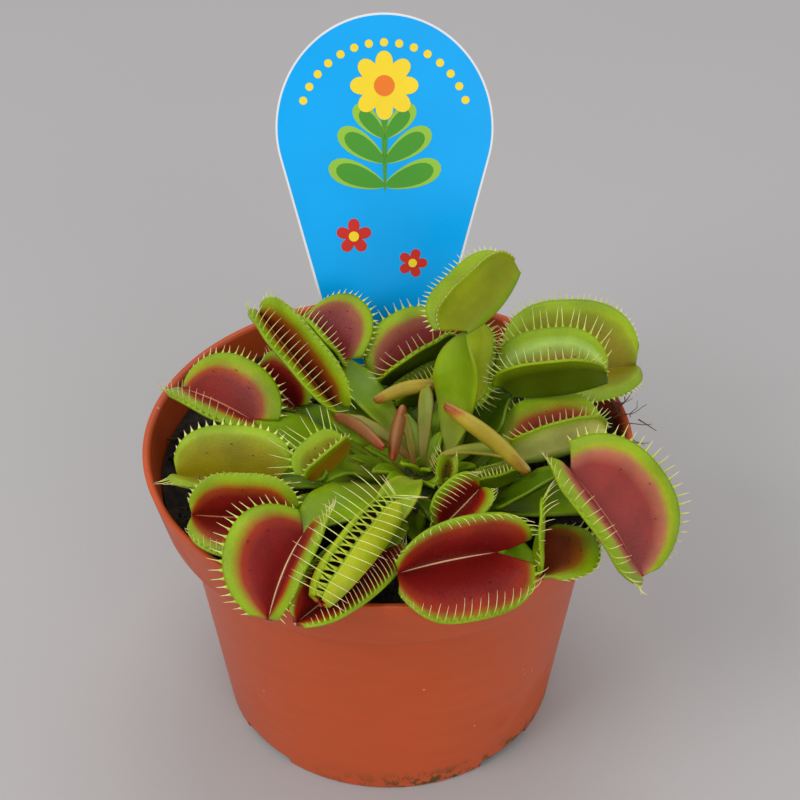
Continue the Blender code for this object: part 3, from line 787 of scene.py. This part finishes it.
def add_cilium(built, layer, cilium, path):
    """A tapering tube with a broad flat foot on the margin."""
    rings = []
    for k, point in enumerate(path):
        s = k / CILIUM_RINGS
        tangent = course(path, k)
        across = unit(cilium.edge - tangent * np.dot(cilium.edge, tangent))
        thick = np.cross(tangent, across)
        thin = CILIUM_ROUND * cilium.scale * (1 - 0.72 * s)
        foot = max(0.0, 1 - s * cilium.length / CILIUM_FOOT) ** 1.6
        wide = thin + (cilium.base - thin) * foot
        ring = []
        for u, v in circle(CILIUM_SIDES):
            spot = built.verts.new(Vector(point + across * wide * u + thick * thin * v) * MM)
            spot[layer] = s
            ring.append(spot)
        rings.append(ring)
    add_tube(built, rings)


def add_hair(built, root, aim):
    """A trigger hair that stands on the lobe."""
    side = unit(np.cross(aim, np.array([0.3, 0.5, 0.8])))
    other = np.cross(aim, side)
    tip = built.verts.new(Vector(root + aim * TRIGGER_LENGTH) * MM)
    spots = [root + (side * u + other * v) * TRIGGER_ROUND for u, v in circle(TRIGGER_SIDES)]
    foot = [built.verts.new(Vector(spot) * MM) for spot in spots]
    for n in range(TRIGGER_SIDES):
        built.faces.new((foot[n], foot[(n + 1) % TRIGGER_SIDES], tip)).material_index = 1
    built.faces.new(foot[::-1]).material_index = 1


# ---- pieces


def placed(name, data, **settings):
    made = adjusted(bpy.data.objects.new(name, data), **settings)
    bpy.context.scene.collection.objects.link(made)
    return made


def solid_mesh(name, points, faces):
    """A mesh from points in millimetres."""
    mesh = bpy.data.meshes.new(name)
    mesh.from_pydata([[c * MM for c in point] for point in points], [], faces)
    return mesh


def closed_solid(points, faces):
    """A mesh to work on, from points in millimetres, with every face outwards."""
    built = bmesh.new()
    corners = [built.verts.new(Vector(point) * MM) for point in points]
    for face in faces:
        built.faces.new([corners[index] for index in face])
    bmesh.ops.recalc_face_normals(built, faces=built.faces)
    return built


def finished_mesh(name, built):
    mesh = bpy.data.meshes.new(name)
    built.to_mesh(mesh)
    built.free()
    return mesh


def ring_faces(rows, steps):
    """Quads between closed rings of points, each ring after the one before."""
    found = []
    for i in range(rows):
        for k in range(steps):
            m = (k + 1) % steps
            found.append((i * steps + k, (i + 1) * steps + k, (i + 1) * steps + m, i * steps + m))
    return found


def piece(name, mesh, materials, replaces=()):
    """A mesh object that rides on the part's one body."""
    made = placed(name, mesh)
    for each in materials:
        mesh.materials.append(each)
    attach(made, "root")
    if replaces:
        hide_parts(*replaces)
    return made


def dress(node, material):
    """Give a solid of the part itself another material."""
    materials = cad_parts[node].data.materials
    materials.clear()
    materials.append(material)


def add_tube(built, rings):
    """Smooth sides between rings of vertices, and flat ends."""
    for low, high in zip(rings, rings[1:]):
        for n in range(len(low)):
            m = (n + 1) % len(low)
            built.faces.new((low[n], low[m], high[m], high[n])).smooth = True
    built.faces.new(rings[0][::-1])
    built.faces.new(rings[-1])


def blade_piece(name, sheet, materials, replaces=()):
    """A sheet given its thickness, which is less where the sheet is less stout."""
    mesh = solid_mesh(name, sheet.points, sheet.faces)
    for tone, values in sheet.tones.items():
        mesh.attributes.new(tone, "FLOAT", "POINT").data.foreach_set("value", values)
    mesh.polygons.foreach_set("material_index", [int(inner) for inner in sheet.inner])
    mesh.polygons.foreach_set("use_smooth", [True] * len(mesh.polygons))
    made = piece(name, mesh, materials, replaces)
    group = made.vertex_groups.new(name="stout")
    for index, weight in enumerate(sheet.stout):
        group.add([index], weight, "REPLACE")
    adjusted(made.modifiers.new("blade", "SOLIDIFY"), thickness=BLADE * MM, offset=0.0, material_offset=-1,
             vertex_group=group.name, thickness_vertex_group=BLADE_THIN)


def add_scale(sheet, trees, bearing, rise, length, width, dark):
    """A narrow blade from the crown, which bends outwards and stops short of other leaves."""
    up, flat = radians(rise), direction(bearing, 0)
    side = direction(bearing + 90, 0)
    start = CROWN_MIDDLE + direction(bearing, rise) * CROWN_SIZE * SCALE_SEAT
    way = direction(bearing, 0.75 * rise + 8)
    bend = flat * 0.2 * sin(up) + side * 0.08 - UP * 0.22 * sin(up)
    path = []
    for t in np.linspace(0, 1, SCALE_ROWS + 1):
        point = start + way * length * t + bend * length * t * t
        if len(path) >= SCALE_ROOT and touches(trees, point, SCALE_CLEAR):
            break
        path.append(point)
    count = len(path) - 1
    lines = []
    for i, point in enumerate(path):
        t = i / count
        tangent = course(path, i)
        upward = unit(np.cross(tangent, side))
        half = width / 2 * sin(pi * (0.16 + 0.84 * t)) ** 0.7 + 0.05
        line = []
        for c in np.linspace(-1, 1, 7):
            ruffle = rough(sheet.seed + bearing, t * 5, c, 2) * 0.3 * c * c
            place = point + side * half * c + upward * (half * 0.4 * abs(c) ** 1.3 + ruffle)
            line.append(sheet.add(place, t, abs(c), 0.0, c))
        lines.append(line)
    for lower, upper in zip(lines, lines[1:]):
        sheet.strip(lower, upper, inner=dark)


def make_crown(trees):
    """The crown's own skin, and the small blades that crowd round it."""
    stops = ((0.3, (44, 56, 8)), (0.55, (64, 80, 12)), (0.75, (92, 100, 26)))
    dress("crown", grainy_material("crown_skin", (240, 4), stops, 0.55, (700, 4), 0.3, glow=0.1))
    chance = random.Random(SEED + 1)
    sheet = Sheet(40)
    for rise, count, length, width in SCALE_ROUNDS:
        for k in range(count):
            bearing = 360 * (k + 0.6 * chance.random()) / count + rise
            size = chance.uniform(0.7, 1.15)
            add_scale(sheet, trees, bearing, rise, length * size, width * size, chance.random() < 0.5)
    for bearing, rise, length, width in LOW_BLADES:
        add_scale(sheet, trees, bearing, rise, length, width, True)
    blade_piece("crown_scales", sheet, [skins["fresh"], skins["mid"]])


def cilia_piece(leaf, sheet, margins, trees, seed):
    """All the cilia and trigger hairs of one trap."""
    built = bmesh.new()
    layer = built.verts.layers.float.new("run")
    for side, margin, lean in zip((-1, 1), margins, leaf.leans):
        for cilium in cilia_of(leaf, margin, side, seed):
            path = free_path(cilium, lean, trees)
            if path is not None:
                add_cilium(built, layer, cilium, path)
    for root, aim in sheet.spots:
        add_hair(built, root, aim)
    name = "cilia_" + leaf.name
    piece(name, finished_mesh(name, built), hairs)


def turned_mesh(name, profile, steps):
    """Surface of revolution from (radius, height) points."""
    points = [(r * u, r * v, z) for r, z in profile for u, v in circle(steps)]
    built = closed_solid(points, ring_faces(len(profile) - 1, steps))
    for face in built.faces:
        face.smooth = True
    return finished_mesh(name, built)


def rounded(profile, radius, steps=4):
    """A profile with each inner corner turned into a short curve."""
    made = [np.array(profile[0], float)]
    for before, corner, after in zip(profile, profile[1:], profile[2:]):
        before, corner, after = (np.array(p, float) for p in (before, corner, after))
        back, on = before - corner, after - corner
        reach = min(radius, norm(back) * 0.45, norm(on) * 0.45)
        start, end = corner + unit(back) * reach, corner + unit(on) * reach
        for k in range(steps + 1):
            t = k / steps
            made.append((1 - t) ** 2 * start + 2 * t * (1 - t) * corner + t * t * end)
    made.append(np.array(profile[-1], float))
    return [tuple(p) for p in made]


def pot_inside():
    """Inner side of the pot's wall, bottom to top."""
    (base, _), *middle, (rim, top) = POT_OUTLINE
    return [(base - WALL, FLOOR), *[(r - WALL, z) for r, z in middle], (rim - WALL - LIP, top - LIP)]


def make_pot():
    """The pot, turned about its axis, with notches cut through the wall at its foot."""
    radii, heights = zip(*POT_OUTLINE)
    foot = [(np.interp(z, heights, radii), z) for z in FOOT_HEIGHTS]
    profile = [(0.01, FLOOR), *pot_inside(), (radii[-1] - WALL, heights[-1])]
    profile += [*POT_OUTLINE[:0:-1], *foot, POT_OUTLINE[0], (0.01, 0)]
    mesh = turned_mesh("pot_shell", rounded(profile, POT_ROUND), POT_STEPS)
    made = piece("pot_shell", mesh, [pot_material()], ("pot",))
    cutters = []
    for i in range(DRAIN_COUNT):
        angle = DRAIN_START + 360 * i / DRAIN_COUNT
        built = bmesh.new()
        bmesh.ops.create_cube(built, size=1)
        block = finished_mesh(f"drain_{i + 1}", built)
        block.transform(Matrix.Diagonal((2 * DRAIN_DEPTH * MM, DRAIN_WIDTH * MM, 2 * DRAIN_HEIGHT * MM, 1)))
        block.transform(Matrix.Rotation(radians(angle), 4, "Z"))
        block.transform(Matrix.Translation(Vector(direction(angle, 0)) * radii[0] * MM))
        cutters.append(placed(block.name, block))
        adjusted(made.modifiers.new(block.name, "BOOLEAN"), operation="DIFFERENCE", object=cutters[-1])
    bpy.context.view_layer.update()
    shape = bpy.data.meshes.new_from_object(made.evaluated_get(bpy.context.evaluated_depsgraph_get()))
    made.modifiers.clear()
    made.data = shape
    for cutter in cutters:
        bpy.data.objects.remove(cutter)


def peat_points(reach):
    """Rings of points of the uneven peat, from the middle out to a radius."""
    points = []
    for i in range(PEAT_RINGS + 1):
        r = reach * (i / PEAT_RINGS)
        for x, y in [(r * u, r * v) for u, v in circle(PEAT_STEPS)]:
            plain = SOIL_TOP + SOIL_MOUND * (1 - (r / reach) ** 2)
            swell = 0.9 * rough(3, x / 9, y / 9, 0) + 0.6 * rough(4, x / 2.6, y / 2.6, 0)
            clear = np.clip((dist((x, y), CROWN_MIDDLE[:2]) - CROWN_SIZE[0]) / 8, 0, 1)
            heap = HEAP_RISE * exp(-dist((x, y), HEAP_PLACE) ** 2 / HEAP_SPREAD)
            points.append((x, y, plain + 0.15 + (max(0.0, 0.8 + swell) + heap) * clear))
    return points


def add_crumb(built, chance, place, trees):
    """A small lump of peat, where it keeps clear of the leaves."""
    x, y, z = place
    size = 0.35 + 1.5 * chance.random() ** 3
    turn = Euler([chance.uniform(0, 6.28) for _ in range(3)]).to_matrix().to_4x4()
    scale = Matrix.Diagonal((size, size * chance.uniform(0.6, 1), size * chance.uniform(0.5, 0.9), 1))
    spot = Vector((x, y, z + size * 0.2))
    if touches(trees, spot, size + 0.4):
        return
    made = bmesh.ops.create_icosphere(built, subdivisions=1, radius=1)["verts"]
    for v in made:
        v.co *= 1 + 0.35 * rough(6, *(v.co * 1.5 + spot))
    bmesh.ops.transform(built, matrix=Matrix.Translation(spot) @ turn @ scale, verts=made)


def add_strand(built, chance, strand, trees):
    """A bent fibre with four sides, where it keeps clear of the leaves."""
    start, bearing, rise, length = strand
    way = direction(bearing, rise)
    bend, kink = chance.uniform(-0.4, 0.4) * length, chance.uniform(2, 9)
    side = np.array([-way[1], way[0], chance.uniform(-0.4, 0.4)])
    shares = np.linspace(0, 1, 9)
    path = [start + way * length * s + side * (bend * s * s + 0.45 * sin(kink * s)) for s in shares]
    if any(touches(trees, point, 0.9) for point in path):
        return
    width = chance.uniform(0.12, 0.3)
    level = unit(np.array([-way[1], way[0], 0]))
    rings = []
    for s, p in zip(shares, path):
        half = width * (1 - 0.6 * s)
        ring = [p + (level * c + UP * u) * half for c, u in ((-1, 0), (0, 1), (1, 0), (0, -1))]
        rings.append([built.verts.new(Vector(corner) * MM) for corner in ring])
    add_tube(built, rings)


def make_peat(trees):
    """Uneven peat over the plain mound, with crumbs, fibres and roots."""
    peat = peat_material()
    dress("soil", peat)
    chance = random.Random(SEED)
    radii, heights = zip(*pot_inside())
    reach = float(np.interp(SOIL_TOP, heights, radii)) - SOIL_GAP
    points, faces = peat_points(reach), ring_faces(PEAT_RINGS, PEAT_STEPS)
    mesh = solid_mesh("peat_surface", points, faces)
    mesh.polygons.foreach_set("use_smooth", [True] * len(mesh.polygons))
    piece("peat_surface", mesh, [peat], ())
    ground = BVHTree.FromPolygons([Vector(p) for p in points], faces)

    def seat():
        """A place on the peat and its height."""
        r, a = reach * 0.97 * sqrt(chance.random()), 2 * pi * chance.random()
        x, y = r * cos(a), r * sin(a)
        hit = ground.ray_cast(Vector((x, y, 100)), Vector((0, 0, -1)))[0]
        return x, y, hit.z if hit else SOIL_TOP

    built = bmesh.new()
    for _ in range(CRUMBS):
        add_crumb(built, chance, seat(), trees)
    bmesh.ops.scale(built, vec=(MM, MM, MM), verts=built.verts)
    piece("peat_crumbs", finished_mesh("peat_crumbs", built), [peat], ())

    strands = list(ROOTS)
    for _ in range(FIBRES):
        start = seat() + UP * 0.2
        strands.append((start, chance.uniform(0, 360), chance.uniform(-3, 17), chance.uniform(3, 9)))
    built = bmesh.new()
    for strand in strands:
        add_strand(built, chance, strand, trees)
    stops = ((0.3, (40, 30, 20)), (0.55, (84, 64, 42)), (0.75, (120, 100, 70)))
    fibre = grainy_material("peat_fibre", (70, 3), stops, 0.85, (1500, 3), 0.1, specular=0.2)
    piece("peat_fibres", finished_mesh("peat_fibres", built), [fibre], ())


# ---- label


def label_outline(inset=0.0):
    """Outline of the label's face: a round head, then straight to the point."""
    head = LABEL_HEAD - inset
    tangent = asin(LABEL_HEAD / LABEL_POINT)
    half = []
    for a in np.linspace(pi / 2, -tangent, 41):
        half.append((head * cos(a), (LABEL_TOP - inset if a > 0 else head) * sin(a)))
    half += [(max(0.4, 1.0 - inset), -LABEL_POINT + 2.5 + 3 * inset), (0, -LABEL_POINT + 4 * inset)]
    return half + [(-x, y) for x, y in half[-2:0:-1]]


def label_layer(name, plates, shade, replaces=()):
    """Flat plates on the label's own plane: each has an outline and two distances from the label's middle."""
    points, faces = [], []
    for outline, low, high in plates:
        first, count = len(points), len(outline)
        points += [(x, y, z) for z in (low, high) for x, y in outline]
        faces += [range(first + count, first + 2 * count), range(first, first + count)[::-1]]
        for k in range(count):
            a, b = first + k, first + (k + 1) % count
            faces.append((a, b, b + count, a + count))
    built = closed_solid(points, faces)
    bmesh.ops.triangulate(built, faces=[f for f in built.faces if len(f.verts) > 4])
    turn = Matrix.Rotation(radians(90 - LABEL_LEAN), 4, "X")
    bmesh.ops.transform(built, matrix=Matrix.Translation(Vector(LABEL_PLACE) * MM) @ turn, verts=built.verts)
    piece(name, finished_mesh(name, built), [shade], replaces)


def petal(centre, bearing, length, width):
    """Outline of a rounded petal or leaf that starts at a centre."""
    way, side = direction(bearing, 0)[:2], direction(bearing + 90, 0)[:2]
    found = []
    for k in range(PETAL_POINTS):
        t = 2 * pi * k / PETAL_POINTS
        half = width / 2 * sin(t) * (0.75 - 0.25 * cos(t))
        found.append(np.array(centre) + way * length * (1 - cos(t)) / 2 + side * half)
    return found


def make_label():
    front = LABEL_THICK / 2
    white = print_material("white", (226, 228, 230))
    label_layer("label_plate", [(label_outline(), -front, front)], white, ("plant_label",))
    azure = print_material("azure", (0, 168, 244))
    rise = front + PRINT_RISE
    label_layer("label_field", [(label_outline(LABEL_BORDER), front, rise)], azure)
    prints = {ink: [] for ink in LABEL_INKS}
    for ink, centre, bearing, length, width, level in LABEL_PETALS:
        prints[ink].append((petal(centre, bearing, length, width), rise, rise + level * PRINT_RISE))
    for ink, centre, radius, level in LABEL_DOTS:
        disc = [np.array(centre) + radius * np.array(turn) for turn in circle(DOT_POINTS)]
        prints[ink].append((disc, rise, rise + level * PRINT_RISE))
    for ink, plates in prints.items():
        label_layer("label_" + ink, plates, print_material(ink, LABEL_INKS[ink]))


# ---- stage


def make_stage():
    reach = FLOOR_REACH / MM
    square = [(-reach, -reach, 0), (reach, -reach, 0), (reach, reach, 0), (-reach, reach, 0)]
    floor = placed("floor", solid_mesh("floor", square, [(0, 1, 2, 3)]))
    floor.data.materials.append(floor_material())
    floor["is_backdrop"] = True
    world = bpy.data.worlds.new("studio")
    world.use_nodes = True
    sky = world.node_tree.nodes["Background"].inputs
    sky["Color"].default_value = (1, 1, 1, 1)
    sky["Strength"].default_value = WORLD_LIGHT
    bpy.context.scene.world = world
    for name, (place, aim, size, power) in LAMPS.items():
        lamp = adjusted(bpy.data.lights.new(name, "AREA"), shape="DISK", size=size, energy=power)
        turn = (Vector((0, 0, aim)) - Vector(place)).to_track_quat("-Z", "Y").to_euler()
        placed(name, lamp, location=place, rotation_euler=turn)


def make_camera():
    camera = adjusted(bpy.data.cameras.new("camera"), lens=CAMERA_LENS, sensor_width=36)
    turn = [radians(a) for a in (90 - CAMERA_DOWN, 0, CAMERA_TURN)]
    place = Vector(CAMERA_PLACE) * MM
    bpy.context.scene.camera = placed("camera", camera, location=place, rotation_euler=turn)


def corners():
    return [list(corner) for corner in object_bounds()]


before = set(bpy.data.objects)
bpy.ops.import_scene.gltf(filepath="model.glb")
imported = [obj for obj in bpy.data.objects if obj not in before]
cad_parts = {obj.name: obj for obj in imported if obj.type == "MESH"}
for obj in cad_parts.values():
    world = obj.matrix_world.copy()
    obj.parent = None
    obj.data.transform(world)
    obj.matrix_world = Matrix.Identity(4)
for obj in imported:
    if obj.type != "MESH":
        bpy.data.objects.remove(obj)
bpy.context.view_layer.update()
bpy.context.scene.view_settings.view_transform = "Standard"
make_camera()
make_stage()
make_pot()
make_label()

skins = {name: skin_material(name) for name in SKINS}
linings = {name: lining_material(name) for name in LININGS}
hairs = [cilium_material(), grainy_material(
    "trigger_hair", (900, 2), ((0.3, (60, 14, 8)), (0.7, (104, 30, 16))), 0.4, (2500, 2), 0.03)]
grown = [leaf_sheet(leaf, index + 1) for index, leaf in enumerate(LEAVES)]
trees = [sheet.tree() for sheet, _ in grown]
for index, (leaf, (sheet, margins)) in enumerate(zip(LEAVES, grown)):
    lining = skins[leaf.skin] if leaf.young else linings[leaf.lining]
    blade_piece("trap_" + leaf.name, sheet, [skins[leaf.skin], lining], (leaf.name,))
    if not leaf.young:
        others = [tree for k, tree in enumerate(trees) if k != index]
        cilia_piece(leaf, sheet, margins, others, index + 1)
make_crown(trees)
make_peat(trees)
